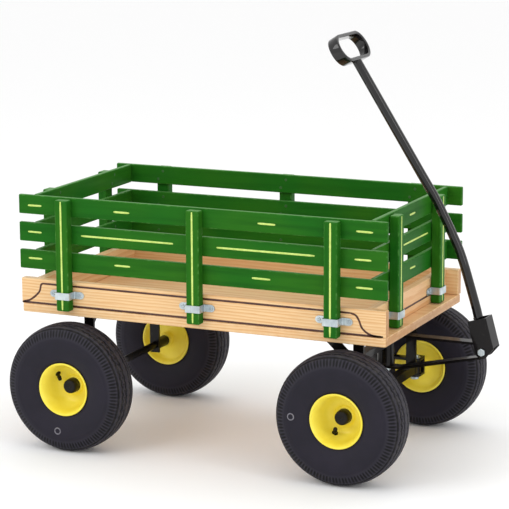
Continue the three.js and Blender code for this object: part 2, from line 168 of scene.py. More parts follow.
def growth_rings(g, along, offset, spacing=0.006, waver=0.016):
    """0 to 1 across each growth ring of a board whose grain runs along that axis."""
    slow = g.coords(GRAIN_STRETCH[along], offset)
    sway = g.add("TexNoise", {"Vector": slow, "Scale": 22.0, "Detail": 2.0}).outputs["Color"]
    parts = g.add("SeparateXYZ", {"Vector": g.coords((1, 1, 1), offset)}).outputs
    bends = g.add("SeparateXYZ", {"Vector": sway}).outputs
    squares = []
    for axis in {0, 1, 2} - {along}:
        bent = g.math("MULTIPLY_ADD", bends[axis], waver)
        bent.node.inputs[2].default_value = -waver / 2
        squares.append(g.math("POWER", g.math("ADD", parts[axis], bent), 2.0))
    radius = g.math("SQRT", g.math("ADD", *squares))
    fine = g.math("MULTIPLY", g.noise(slow, 160, 4), 0.9)
    turns = g.math("ADD", g.math("DIVIDE", radius, spacing), fine)
    return g.math("FRACT", turns)


def pine(name, along, seed, tone=1.0):
    """Lacquered pine: growth rings, fine fibres, a few knots, and handling wear on the edges."""
    g = Graph(name)
    offset = (0.21 * seed, 0.055 + 0.02 * (seed % 3), 0.07 + 0.013 * (seed % 4))
    ring = growth_rings(g, along, offset)
    late = g.fit(ring, 0.35, 0.92)
    late = g.math("MULTIPLY", late, g.fit(ring, 1.0, 0.94))
    light = tuple(c * tone for c in rgb(236, 200, 150))
    dark = tuple(c * tone for c in rgb(214, 158, 98))
    wide = g.noise(g.coords(GRAIN_STRETCH[along], offset), 9, 2)
    colour = g.mix(g.math("MULTIPLY", late, g.fit(wide, 0.3, 0.7, 0.35, 0.95)), light, dark)
    blush = g.noise(g.coords((1, 1, 1), offset), 3.2, 2)
    colour = g.mix(g.fit(blush, 0.42, 0.68, 0, 0.35), colour, rgb(226, 164, 112))
    fibre_scale = tuple(0.03 if axis == along else 1 for axis in range(3))
    fibre = g.noise(g.coords(fibre_scale, offset), 900, 3)
    colour = g.mix(g.fit(fibre, 0.35, 0.75, 0, 0.22), colour, rgb(188, 132, 78))
    knot_scale = tuple(0.55 if axis == along else 1 for axis in range(3))
    cells = g.add("TexVoronoi", {"Vector": g.coords(knot_scale, offset), "Scale": 9.0})
    spot = g.fit(cells.outputs["Distance"], 0.035, 0.085, 1, 0)
    chosen = g.add("SeparateColor", {"Color": cells.outputs["Color"]}).outputs[0]
    knot = g.math("MULTIPLY", spot, g.math("GREATER_THAN", chosen, 0.86))
    colour = g.mix(g.math("MULTIPLY", knot, 0.75), colour, rgb(132, 78, 38))
    end_grain = g.fit(g.math("ABSOLUTE", g.facing(along)), 0.75, 0.95, 0, 0.75)
    colour = g.mix(end_grain, colour, rgb(170, 118, 68))
    rub = g.math("MULTIPLY", g.attribute("edge"), g.fit(g.noise(g.coords(), 60, 3), 0.4, 0.62))
    colour = g.mix(g.math("MULTIPLY", rub, 0.3), colour, rgb(244, 216, 174))
    g.set("Base Color", colour)
    g.set("Roughness", g.fit(fibre, 0.2, 0.8, 0.34, 0.5))
    g.set("Normal", g.bump(g.math("ADD", fibre, g.math("MULTIPLY", late, 0.5)), 0.00016, 0.7))
    g.set("Specular IOR Level", 0.22)
    g.set("Coat Weight", 0.1)
    g.set("Coat Roughness", 0.3)
    return g.material


def painted_green(name, along, seed):
    """Green paint on planed wood: the grain telegraphs through it, it thins on the edges, and its
    upward faces carry a painted highlight.
    """
    g = Graph(name)
    offset = (0.17 * seed, 0.05 + 0.017 * (seed % 3), 0.06 + 0.011 * (seed % 4))
    ring = growth_rings(g, along, offset, spacing=0.008)
    streak = g.noise(g.coords(GRAIN_STRETCH[along], offset), 70, 4)
    wide = g.noise(g.coords((1, 1, 1), offset), 4.5, 2)
    colour = g.mix(g.fit(wide, 0.35, 0.65), rgb(29, 97, 24), rgb(46, 105, 24))
    colour = g.mix(g.fit(streak, 0.45, 0.75, 0, 0.55), colour, rgb(20, 74, 18))
    speck = g.noise(g.coords(), 75, 4, 0.7)
    worn = g.math("MULTIPLY", g.attribute("edge"), g.fit(speck, 0.5, 0.64))
    colour = g.mix(g.math("MULTIPLY", worn, 0.35), colour, rgb(104, 158, 84))
    # Painted highlight: faces that look up are painted a paler green, for the sheen on the tops.
    painted_top_highlight = g.fit(g.facing(2), 0.7, 0.95, 0, 0.6)
    colour = g.mix(painted_top_highlight, colour, rgb(98, 150, 84))
    g.set("Base Color", colour)
    g.set("Roughness", g.fit(streak, 0.3, 0.7, 0.3, 0.46))
    height = g.math("ADD", g.math("MULTIPLY", ring, 0.35), streak)
    g.set("Normal", g.bump(height, 0.00022, 0.6))
    g.set("Specular IOR Level", 0.03)
    g.set("Coat Weight", 0.05)
    g.set("Coat Roughness", 0.2)
    return g.material


def line_paint(name, colour, thin):
    """Striping paint, brushed by hand: it is uneven along its length."""
    g = Graph(name)
    patch = g.noise(g.coords(), 130, 4, 0.65)
    g.set("Base Color", g.mix(g.fit(patch, 0.35, 0.7), colour, thin))
    g.set("Roughness", g.fit(patch, 0.3, 0.7, 0.32, 0.5))
    g.set("Normal", g.bump(patch, 0.0001, 0.5))
    return g.material


def enamel(name, main, shade, worn, coat_roughness=0.06, coat=0.3):
    """Sprayed enamel or powder coat on steel: a faint orange peel, and chips on its edges."""
    g = Graph(name)
    peel = g.noise(g.coords(), 620, 2)
    cloud = g.noise(g.coords(), 14, 4, 0.6)
    colour = g.mix(g.fit(cloud, 0.35, 0.7), main, shade)
    chip = g.math("MULTIPLY", g.attribute("edge"), g.fit(g.noise(g.coords(), 90, 3), 0.62, 0.72))
    g.set("Base Color", g.mix(g.math("MULTIPLY", chip, 0.3), colour, worn))
    g.set("Roughness", g.fit(cloud, 0.3, 0.75, 0.3, 0.42))
    g.set("Normal", g.bump(peel, 0.00009, 0.55))
    g.set("Specular IOR Level", 0.06)
    g.set("Coat Weight", coat)
    g.set("Coat Roughness", coat_roughness)
    return g.material


def zinc_plate(name):
    """Bright zinc: cold bluish steel with faint rolling lines and duller patches."""
    g = Graph(name)
    line = g.noise(g.coords((1, 1, 0.08)), 420, 3)
    patch = g.noise(g.coords(), 38, 4, 0.6)
    colour = g.mix(g.fit(patch, 0.35, 0.7), rgb(208, 218, 220), rgb(172, 184, 190))
    g.set("Base Color", g.mix(g.fit(line, 0.4, 0.75, 0, 0.25), colour, rgb(128, 138, 152)))
    g.set("Metallic", 0.9)
    g.set("Roughness", g.fit(patch, 0.3, 0.7, 0.28, 0.46))
    g.set("Normal", g.bump(line, 0.00006, 0.5))
    return g.material


def rubber(name):
    """Tyre rubber, made about the hub: bluish black, with a dull bloom, dust on the tread, and painted
    shade in the shoulder's cuts.
    """
    g = Graph(name)
    parts = g.add("SeparateXYZ", {"Vector": g.coords()}).outputs
    squares = [g.math("POWER", parts[axis], 2.0) for axis in (0, 2)]
    radius = g.math("SQRT", g.math("ADD", *squares))
    bloom = g.noise(g.coords(), 16, 4, 0.6)
    colour = g.mix(g.fit(bloom, 0.35, 0.7), rgb(28, 26, 36), rgb(36, 33, 44))
    cut = g.attribute("cut")
    shoulder = g.fit(radius, 0.106, 0.114)
    ridge = g.math("MULTIPLY", shoulder, g.fit(cut, 0.05, 0.5, 0.2, 0))
    colour = g.mix(ridge, colour, rgb(84, 82, 90))
    # Painted shade: the shoulder's cuts are painted near black, for the shadow in them.
    colour = g.mix(g.math("MULTIPLY", shoulder, g.fit(cut, 0.3, 0.8)), colour, rgb(12, 11, 14))
    tread = g.fit(radius, 0.122, 0.131)
    dust = g.math("MULTIPLY", tread, g.fit(g.noise(g.coords(), 90, 4), 0.42, 0.68))
    colour = g.mix(g.math("MULTIPLY", dust, 0.3), colour, rgb(84, 80, 76))
    grit = g.noise(g.coords(), 900, 3)
    g.set("Base Color", colour)
    g.set("Roughness", g.fit(bloom, 0.3, 0.7, 0.5, 0.66))
    g.set("Normal", g.bump(grit, 0.00012, 0.6))
    g.set("Specular IOR Level", 0.2)
    return g.material


def moulded_plastic(name):
    g = Graph(name)
    grit = g.noise(g.coords(), 700, 3)
    patch = g.noise(g.coords(), 40, 3)
    g.set("Base Color", g.mix(g.fit(patch, 0.35, 0.7), rgb(14, 12, 12), rgb(26, 23, 22)))
    g.set("Roughness", g.fit(patch, 0.3, 0.7, 0.36, 0.52))
    g.set("Normal", g.bump(grit, 0.0001, 0.5))
    g.set("Specular IOR Level", 0.2)
    return g.material


GREEN_LINE = line_paint("line_paint_green", rgb(208, 230, 122), rgb(180, 208, 92))
GREEN_SCREW = line_paint("painted_screw_green", rgb(24, 84, 22), rgb(34, 96, 26))
BROWN_LINE = line_paint("line_paint_brown", rgb(54, 22, 12), rgb(84, 38, 20))
BLACK = enamel("black_powder_coat", rgb(12, 10, 11), rgb(20, 17, 17), rgb(60, 56, 54))
GLOSS = enamel("black_gloss", rgb(10, 9, 10), rgb(16, 14, 14), rgb(60, 56, 54), 0.05, 1.0)
YELLOW = enamel("yellow_enamel", rgb(252, 236, 96), rgb(242, 220, 62), rgb(206, 186, 60), 0.2)
ZINC = zinc_plate("zinc_plating")
RUBBER = rubber("tyre_rubber")
# The sidewall's ring mark, in a paler grey than the tyre.
MARK = line_paint("pale_ring_rubber", rgb(120, 118, 126), rgb(92, 90, 98))
PLASTIC = moulded_plastic("black_plastic")


# ------------------------------------------------------------------ mesh helpers
def put(name, mesh, material, body, replaced=(), place=None):
    """The mesh as an object that rides on a body, in place of CAD nodes."""
    piece = bpy.data.objects.new(name, mesh)
    bpy.context.scene.collection.objects.link(piece)
    if place:
        piece.matrix_world = place
    if not mesh.materials:
        mesh.materials.append(material)
    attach(piece, body)
    if replaced:
        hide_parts(*replaced)
    return piece


def mesh_from(name, bm, smooth=True):
    bmesh.ops.recalc_face_normals(bm, faces=bm.faces)
    mesh = bpy.data.meshes.new(name)
    for face in bm.faces:
        face.smooth = smooth
    bm.to_mesh(mesh)
    bm.free()
    return mesh


def keep_flats(piece):
    """Flat faces stay flat between their rounded edges."""
    modifier = piece.modifiers.new("flats", "WEIGHTED_NORMAL")
    modifier.keep_sharp = True
    return piece


def rounded_box(bm, low, high, radius, segments=4):
    """A box with rounded edges, whose roundings carry the attribute edge."""
    low, high = Vector(low), Vector(high)
    size, middle = high - low, (low + high) / 2
    place = Matrix.Translation(middle) @ Matrix.Diagonal((*size, 1))
    made = bmesh.ops.create_cube(bm, size=1, matrix=place)
    edges = list({e for v in made["verts"] for e in v.link_edges})
    bmesh.ops.bevel(
        bm, geom=edges, offset=radius, segments=segments, profile=0.5, affect="EDGES"
    )
    layer = bm.verts.layers.float.get("edge") or bm.verts.layers.float.new("edge")
    flat = [h - radius * 0.99 for h in size / 2]
    for v in bm.verts:
        outside = sum(abs(v.co[i] - middle[i]) > flat[i] for i in range(3))
        inside = all(abs(v.co[i] - middle[i]) < size[i] / 2 + 1e-6 for i in range(3))
        if inside and outside >= 2:
            v[layer] = 1.0


def board(node, body, material, radius):
    """A CAD board, rail or stake with rounded edges."""
    bm = bmesh.new()
    rounded_box(bm, *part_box(node), radius)
    mesh = mesh_from(node + "_planed", bm)
    return keep_flats(put(node + "_wood", mesh, material, body, [node]))


def loft(bm, rings, closed_path=False):
    """Faces between rings of points, each ring as long as the next, with capped ends."""
    rows = [[bm.verts.new(p) for p in ring] for ring in rings]
    count = len(rows[0])
    pairs = list(zip(rows, rows[1:])) + ([(rows[-1], rows[0])] if closed_path else [])
    for a, b in pairs:
        for i in range(count):
            j = (i + 1) % count
            bm.faces.new((a[i], a[j], b[j], b[i]))
    if not closed_path:
        bm.faces.new(rows[0])
        bm.faces.new(list(reversed(rows[-1])))
    return rows


def revolve(bm, outline, segments):
    """A closed (radius, along) outline turned about Y."""
    rows = []
    for step in range(segments):
        angle = 2 * math.pi * step / segments
        rows.append([Vector((r * math.sin(angle), y, r * math.cos(angle))) for r, y in outline])
    loft(bm, rows, closed_path=True)
    bmesh.ops.remove_doubles(bm, verts=bm.verts, dist=1e-6)


def smooth_curve(points, steps):
    """Catmull-Rom curve through points, with that many steps between two of them."""
    points = [Vector(p) for p in points]
    ends = [2 * points[0] - points[1], *points, 2 * points[-1] - points[-2]]
    curve = []
    for a, b, c, d in zip(ends, ends[1:], ends[2:], ends[3:]):
        for i in range(steps):
            t = i / steps
            curve.append(
                0.5
                * (
                    2 * b
                    + (c - a) * t
                    + (2 * a - 5 * b + 4 * c - d) * t**2
                    + (3 * b - a - 3 * c + d) * t**3
                )
            )
    return [*curve, points[-1]]


def tube(bm, path, radius, sides, side=Vector((0, 1, 0))):
    """A round bar along a path that stays in the plane across side."""
    rings = []
    for i, p in enumerate(path):
        ahead = (path[min(i + 1, len(path) - 1)] - path[max(i - 1, 0)]).normalized()
        up = ahead.cross(side).normalized()
        turn = [2 * math.pi * k / sides for k in range(sides)]
        rings.append([p + (side * math.cos(a) + up * math.sin(a)) * radius for a in turn])
    loft(bm, rings)


def painted_line(bm, path, outward, width, draw):
    """A thin film of paint along a path on a face. Its width wavers a little, as a hand does."""
    outward = Vector(outward)
    rings = []
    last = len(path) - 1
    for i, p in enumerate(path):
        ahead = (path[min(i + 1, last)] - path[max(i - 1, 0)]).normalized()
        across = outward.cross(ahead).normalized()
        narrow = 0.35 if i in (0, last) else 0.8 if i in (1, last - 1) else 1.0
        half = width / 2 * narrow * draw.uniform(0.92, 1.06)
        base, top = outward * -SUNK, outward * FILM
        rings.append([p + base - across * half, p + top - across * half * 0.9,
                      p + top + across * half * 0.9, p + base + across * half])
    loft(bm, rings)


def straight(a, b):
    """Points along a straight brush stroke, with one close behind each end for its round nose."""
    a, b = Vector(a), Vector(b)
    count = max(6, round((b - a).length / BRUSH_STEP))
    inner = [a.lerp(b, i / count) for i in range(count + 1)]
    nose = (b - a).normalized() * BRUSH_NOSE
    return [inner[0], inner[0] + nose, *inner[1:-1], inner[-1] - nose, inner[-1]]


# ------------------------------------------------------------------ fasteners
def pan_screw(bm, at, outward, radius=0.0042, height=0.0021):
    """A pan-head screw with a cross recess, standing on a face."""
    turn = Vector((0, 0, 1)).rotation_difference(Vector(outward)).to_matrix()
    arm, reach = 0.16 * radius, 0.62 * radius
    rings = []
    for share, rise in ((1.0, 0.0), (1.0, 0.35), (0.93, 0.68), (0.78, 0.88), (0.6, 0.97),
                        (0.45, 1.0), (0.3, 1.0), (0.17, 1.0), (0.06, 1.0)):
        ring = []
        for k in range(32):
            a = 2 * math.pi * k / 32
            x, y = radius * share * math.cos(a), radius * share * math.sin(a)
            in_cross = min(abs(x), abs(y)) < arm and max(abs(x), abs(y)) < reach
            z = height * (0.35 if in_cross and share < 0.7 else rise)
            ring.append(Vector(at) + turn @ Vector((x, y, z - 0.0001)))
        rings.append(ring)
    loft(bm, rings)


def hex_bolt(bm, at, outward, across=0.013, height=0.0055, washer=0.011, stud=0.0):
    """A hexagon head or nut on a washer, standing on a face, with the stud's end past it."""
    outward = Vector(outward)
    turn = Vector((0, 0, 1)).rotation_difference(outward).to_matrix()

    def ring(radius_at, z, sides):
        points = []
        for k in range(sides):
            a = 2 * math.pi * k / sides
            r = radius_at(a)
            points.append(Vector(at) + turn @ Vector((r * math.cos(a), r * math.sin(a), z)))
        return points

    def hexagon(a):
        return across / 2 / math.cos((a + math.pi / 6) % (math.pi / 3) - math.pi / 6)

    flat = 0.0014 if washer else 0.0
    if washer:
        outline = ((washer, -0.0001), (washer, flat * 0.8), (washer * 0.96, flat), (0.004, flat))
        loft(bm, [ring(lambda a, r=r: r, z, 36) for r, z in outline])
    low, high = flat - 0.0002, flat + height
    rings = [ring(hexagon, low, 48), ring(hexagon, high - 0.0009, 48)]
    rings.append(ring(lambda a: min(hexagon(a), across * 0.515), high - 0.0005, 48))
    rings.append(ring(lambda a: min(hexagon(a), across * 0.46), high, 48))
    loft(bm, rings)
    if stud:
        r = across * 0.29
        loft(bm, [ring(lambda a, s=s: r * s, z, 24) for s, z in
                  ((1, high - 0.001), (1, high + stud - 0.0008), (0.8, high + stud))])


# ------------------------------------------------------------------ tray
def tray():
    deck_panel()
    for number, side in enumerate(SIDES):
        board(f"{side}_side_board", "cart", pine(f"pine_{side}_board", 0, 2 + number), 2 * MM)
    for number, end in enumerate(ENDS):
        board(f"{end}_board", "cart", pine(f"pine_{end}_board", 1, 5 + number), 2 * MM)
    for side in SIDES:
        side_pinstripes(side)
    for end in ENDS:
        end_pinstripe(end)


def deck_panel():
    """The deck: a panel with rounded corners in plan and softened edges."""
    low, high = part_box("deck")
    corner, soft = 7 * MM, 2.5 * MM
    half = (high - low) / 2
    middle = (low + high) / 2
    plan = []
    for quarter, (sx, sy) in enumerate(((1, 1), (-1, 1), (-1, -1), (1, -1))):
        for k in range(9):
            a = math.pi / 2 * (quarter + k / 8)
            plan.append((sx * (half.x - corner), sy * (half.y - corner), math.cos(a), math.sin(a)))
    rings = []
    for k in range(9):
        a = math.pi * (k / 8) - math.pi / 2
        inset = soft * (1 - math.cos(a))
        z = low.z + soft * (1 + math.sin(a)) if k < 4 else high.z - soft * (1 - math.sin(a))
        z = (low.z + high.z) / 2 if k == 4 else z
        r = corner - inset
        rings.append([Vector((middle.x + x + c * r, middle.y + y + s * r, z)) for x, y, c, s in plan])
    bm = bmesh.new()
    layer = bm.verts.layers.float.new("edge")
    rows = loft(bm, rings)
    for index in (1, 2, 3, 5, 6, 7):
        for v in rows[index]:
            v[layer] = 1.0
    mesh = mesh_from("deck_panel", bm)
    keep_flats(put("deck_wood", mesh, pine("pine_deck", 0, 9, 0.97), "cart", ["deck"]))


# The S curves that join a side board's two lines, in from the board's end and up, in millimetres.
REAR_CURVE = ((2, 0), (21, 6), (41, 23), (46, 38), (50, 42))
FRONT_CURVE = ((6, 0), (27, 1), (40, 6), (50, 15), (56, 29), (63, 38.5), (74, 42))
STRIPE = 4.6 * MM
STRIPE_LOW = 3 * MM  # the lower line's height over the side board's bottom edge
STRIPE_HIGH = 45 * MM
END_STRIPE_HEIGHT = 19 * MM
END_STRIPE_INSET = 4 * MM


def side_pinstripes(side):
    """Two brown lines along a side board, joined at each end by an S curve."""
    low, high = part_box(f"{side}_side_board")
    outward = OUTWARD[side]
    face = face_of(f"{side}_side_board", outward)
    lower, upper = low.z + STRIPE_LOW, low.z + STRIPE_HIGH
    draw = random.Random(11 + SIDES[side])
    bm = bmesh.new()
    for curve, end, way in ((REAR_CURVE, low.x, 1), (FRONT_CURVE, high.x, -1)):
        points = [(end + way * dx * MM, face, lower + dz * MM) for dx, dz in curve]
        painted_line(bm, smooth_curve(points, 8), outward, STRIPE, draw)
    tops = (low.x + REAR_CURVE[-1][0] * MM, high.x - FRONT_CURVE[-1][0] * MM)
    bottoms = (low.x + REAR_CURVE[0][0] * MM, high.x - FRONT_CURVE[0][0] * MM)
    for z, (start, stop) in ((upper, tops), (lower, bottoms)):
        line = straight((start - 1 * MM, face, z), (stop + 1 * MM, face, z))
        painted_line(bm, line, outward, STRIPE, draw)
    mesh = mesh_from(f"{side}_pinstripes", bm)
    put(f"{side}_board_pinstripes", mesh, BROWN_LINE, "cart")


def end_pinstripe(end):
    """One brown line across an end board."""
    low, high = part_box(f"{end}_board")
    s = 1 if end == "front" else -1
    face = high.x if s > 0 else low.x
    z = low.z + END_STRIPE_HEIGHT
    bm = bmesh.new()
    start = (face, low.y + END_STRIPE_INSET, z)
    stop = (face, high.y - END_STRIPE_INSET, z)
    line = straight(start, stop)
    painted_line(bm, line, (s, 0, 0), STRIPE, random.Random(21 + s))
    mesh = mesh_from(f"{end}_pinstripe", bm)
    put(f"{end}_board_pinstripe", mesh, BROWN_LINE, "cart")


# ------------------------------------------------------------------ racks
def racks():
    seed = 0
    for rack, stakes in RACK_STAKES.items():
        along = 1 if rack in ENDS else 0
        for rail in RAILS:
            seed += 1
            material = painted_green(f"green_{rack}_{rail}_rail", along, seed)
            board(f"{rack}_rack_{rail}_rail", rack + "_rack", material, 2.4 * MM)
        seed += 1
        material = painted_green(f"green_{rack}_stakes", 2, seed)
        for stake in stakes:
            board(f"{rack}_rack_{stake}_stake", rack + "_rack", material, 3.2 * MM)
        rack_lines(rack, stakes, along)
        rack_screws(rack, stakes, along)


# Each rail's painted dashes, as (middle, length) along the rail from its middle, in millimetres.
SIDE_DASHES = {
    "top": ((-369, 32), (-168, 36), (153, 38), (360, 35)),
    "middle": ((-370, 32), (-157, 210), (150, 212), (357, 35)),
    "bottom": ((-370, 32), (-168, 36), (141, 40), (360, 35)),
}
END_DASHES = {
    "top": ((-178, 24), (-4, 31), (178, 24)),
    "middle": ((-178, 24), (0, 176), (178, 24)),
    "bottom": ((-178, 24), (0, 31), (178, 24)),
}
DASH_RISE = {"top": -1.8 * MM, "middle": 0.4 * MM, "bottom": 2.4 * MM}  # over the rail's middle
DASH_WIDTH = 4.2 * MM
STAKE_LINE_TOP = 2 * MM  # how far the stake's line stops short of its ends
STAKE_LINE_BOTTOM = 3 * MM


def rack_lines(rack, stakes, along):
    """Pale green lines: dashes on the rails, and one line down the middle of each stake."""
    outward = OUTWARD[rack]
    draw = random.Random(31 + len(rack))
    bm = bmesh.new()
    for rail, dashes in (END_DASHES if along else SIDE_DASHES).items():
        node = f"{rack}_rack_{rail}_rail"
        face, middle = face_of(node, outward), centre_of(node)
        z = middle.z + DASH_RISE[rail]
        for at, length in dashes:
            ends = []
            for way in (-0.5, 0.5):
                p = middle.copy()
                p[1 - along] = face
                p[along] += (at + way * length) * MM
                p.z = z + draw.uniform(-0.4, 0.4) * MM
                ends.append(p)
            painted_line(bm, straight(*ends), outward, DASH_WIDTH, draw)
    for stake in stakes:
        node = f"{rack}_rack_{stake}_stake"
        low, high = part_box(node)
        p = centre_of(node)
        p[1 - along] = face_of(node, outward)
        top, bottom = p.copy(), p.copy()
        top.z, bottom.z = high.z - STAKE_LINE_TOP, low.z + STAKE_LINE_BOTTOM
        painted_line(bm, straight(bottom, top), outward, DASH_WIDTH, draw)
    mesh = mesh_from(f"{rack}_rack_lines", bm)
    put(f"{rack}_rack_line_paint", mesh, GREEN_LINE, rack + "_rack")


SCREW_ACROSS = 6 * MM  # a rack screw's place from the middle of its stake and rail
SCREW_UP = 9 * MM


def rack_screws(rack, stakes, along):
    """Two countersunk screws through each rail into each stake, from the inside, painted over."""
    outward = OUTWARD[rack]
    inward = [-c for c in outward]
    bm = bmesh.new()
    for rail in RAILS:
        node = f"{rack}_rack_{rail}_rail"
        middle = centre_of(node)
        for stake in stakes:
            where = centre_of(f"{rack}_rack_{stake}_stake")
            for way in (-1, 1):
                p = middle.copy()
                p[along] = where[along] + way * SCREW_ACROSS
                p[1 - along] = face_of(node, inward)
                p.z += way * SCREW_UP
                pan_screw(bm, p, inward, 0.0032, 0.0006)
    mesh = mesh_from(f"{rack}_rack_screws", bm)
    put(f"{rack}_rack_screws", mesh, GREEN_SCREW, rack + "_rack")


# ------------------------------------------------------------------ stake straps
def straps():
    for rack, stakes in RACK_STAKES.items():
        for stake in stakes:
            strap(f"{rack}_{stake}_stake_strap", OUTWARD[rack])


BAND = 2 * MM  # the strap's sheet
BAND_TAB = 24 * MM  # from the stake's side to the tab's round end, with half the sheet
BAND_BEND = 2.6 * MM
BAND_SOFT = 0.35 * MM


def strap(node, outward):
    """A bent steel band round a stake, with round screw tabs flat on the board."""
    low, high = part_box(node)
    outward = Vector(outward)
    sideways = Vector((0, 0, 1)).cross(outward)
    axis = 0 if abs(outward.x) > 0.5 else 1
    middle = (low + high) / 2
    thick, bend = BAND, BAND_BEND
    half_height = (high.z - low.z) / 2
    reach = (high - low)[1 - axis] / 2
    deep = (high - low)[axis]
    back = middle - outward * (deep / 2)
    tab = BAND_TAB - thick / 2
    leg = reach - tab
    plan = [(-reach + s * (tab - bend), thick / 2) for s in (0, 0.04, 0.1, 0.2, 0.35, 0.5, 0.7, 0.9)]
    plan += arc((-leg - bend, thick / 2 + bend), bend, -90, 0)
    plan += arc((-leg + bend, deep - thick / 2 - bend), bend, 180, 90)
    plan += [(-x, y) for x, y in reversed(plan)]
    rings = []
    last = len(plan) - 1
    for i, (x, y) in enumerate(plan):
        x0, y0 = plan[max(i - 1, 0)]
        x1, y1 = plan[min(i + 1, last)]
        ahead = Vector((x1 - x0, y1 - y0)).normalized()
        normal = Vector((-ahead.y, ahead.x))
        to_end = reach - abs(x)
        r = half_height
        tall = r if to_end >= r else math.sqrt(max(r * r - (r - to_end) ** 2, (0.25 * r) ** 2))
        ring = []
        for a, b in ((-1, -1), (1, -1), (1, 1), (-1, 1)):
            for first in (0, 1):
                across_sheet = first == (a * b > 0)  # which side of the corner is cut back
                da = thick / 2 - (BAND_SOFT if across_sheet else 0)
                db = tall - (0 if across_sheet else BAND_SOFT)
                q = Vector((x, y)) + normal * a * da
                ring.append(back + sideways * q.x + outward * q.y + Vector((0, 0, b * db)))
        rings.append(ring)
    bm = bmesh.new()
    loft(bm, rings)
    for way in (-1, 1):
        at = back + sideways * way * (reach - half_height) + outward * thick
        pan_screw(bm, at, outward)
    mesh = mesh_from(node + "_bent", bm)
    keep_flats(put(node + "_band", mesh, ZINC, "cart", [node]))


def arc(centre, radius, start, stop, steps=5):
    angles = [math.radians(start + (stop - start) * k / steps) for k in range(steps + 1)]
    return [(centre[0] + radius * math.cos(a), centre[1] + radius * math.sin(a)) for a in angles]


# ------------------------------------------------------------------ wheels
TURNS = 360  # steps round a tyre
SIPES = 108
ZIGZAGS = 60


def tyre_profile():
    """Half of the tyre's section, from the crown's middle to the bead, as radius and along."""
    half = [(134, 0), (133.7, 10), (132.4, 20), (129.6, 28), (124.5, 34.2), (116, 38.4),
            (104, 40.7), (92, 40.9), (80, 39.6), (70, 37.2), (62, 34.2), (56, 30.8), (52.2, 27.4)]
    curve = smooth_curve([(r, y, 0) for r, y in half], 5)
    return [(p.x * MM, p.y * MM) for p in curve]


def groove(distance, half_width):
    """How deep a groove is at that distance from its middle, 0 to 1, with sloping walls."""
    return min(1.0, max(0.0, 1.6 * (1 - abs(distance) / half_width)))


TREAD_RADIUS = 0.127  # the tread's grooves lie outside this radius
GROOVES = ((0.0085, 0.0014), (0.0205, -0.0014))  # from the crown's middle, and their sway
GROOVE_DEPTH, GROOVE_HALF = 2.2, 0.0024
EDGE_GROOVE = 0.0305  # the straight groove between the tread and the shoulder
RIB = (0.011, 0.018)  # the rib with fine cross cuts
SHOULDER_RADIUS = 0.1185
SIDEWALL_RINGS = ((0.7, 0.1015, 0.0022), (0.6, 0.0625, 0.0016))  # height, radius, half width


def tread_cut(r, y, step):
    """How far the surface is cut or raised at a place on the tyre."""
    turn = step / TURNS
    wave = abs((turn * ZIGZAGS) % 1 - 0.5) * 4 - 1
    on_tread = r > TREAD_RADIUS
    cut = 0.0
    if on_tread:
        for middle, sway in GROOVES:
            cut += GROOVE_DEPTH * groove(abs(y) - middle - sway * wave, GROOVE_HALF)
    cut += 1.8 * groove((abs(y) - EDGE_GROOVE) if r > 0.12 else 1, 0.0017)
    on_shoulder = groove(r - SHOULDER_RADIUS, 0.0095) if abs(y) > 0.031 else 0
    sipe = groove(((turn * SIPES) % 1 - 0.5) * 2, 0.75)
    cut += 1.1 * sipe * on_shoulder
    if on_tread and RIB[0] < abs(y) < RIB[1]:
        cut += 0.9 * groove(((turn * ZIGZAGS) % 1 - 0.5) * 2, 0.4)
    if r < 0.11:
        cut -= sum(height * groove(r - at, half) for height, at, half in SIDEWALL_RINGS)
    return cut * MM


def tyre_mesh():
    half = tyre_profile()
    outline = [(r, -y) for r, y in reversed(half[1:])] + half
    normals = []
    for i in range(len(outline)):
        (r0, y0), (r1, y1) = outline[max(i - 1, 0)], outline[min(i + 1, len(outline) - 1)]
        ahead = Vector((r1 - r0, y1 - y0)).normalized()
        normals.append(Vector((ahead.y, -ahead.x)))
    bore = [(0.0508, 0.022), (0.0505, 0.0), (0.0508, -0.022)]
    rings = []
    for step in range(TURNS):
        angle = 2 * math.pi * step / TURNS
        section = []
        for (r, y), n in zip(outline, normals):
            down = tread_cut(r, y, step)
            section.append((r - n.x * down, y - n.y * down))
        ring = [Vector((r * math.sin(angle), y, r * math.cos(angle))) for r, y in section + bore]
        rings.append(ring)
    bm = bmesh.new()
    layer = bm.verts.layers.float.new("cut")
    rows = loft(bm, rings, closed_path=True)
    for step, row in enumerate(rows):
        for v, (r, y) in zip(row, outline):
            v[layer] = min(1.0, max(0.0, tread_cut(r, y, step) / MM))
    return mesh_from("tyre_carcass", bm)


MARK_RADIUS = 6.4 * MM
MARK_HALF_WIDTH = 1.3 * MM
MARK_HEIGHT = 0.7 * MM
SIDEWALL = 40.8 * MM  # where the sidewall's face lies from the tyre's middle


def circle(count):
    return [2 * math.pi * k / count for k in range(count)]


def ring_mark_mesh():
    """A small plain ring moulded on the sidewall, in a paler grey than the tyre."""
    rings = []
    for angle in circle(28):
        out = Vector((math.cos(angle), 0, math.sin(angle)))
        centre = out * MARK_RADIUS + Vector((0, SIDEWALL, 0))
        ring = []
        for t in circle(8):
            rise = Vector((0, MARK_HEIGHT * math.sin(t), 0))
            ring.append(centre + out * MARK_HALF_WIDTH * math.cos(t) + rise)
        rings.append(ring)
    bm = bmesh.new()
    loft(bm, rings, closed_path=True)
    return mesh_from("tyre_ring_mark", bm)


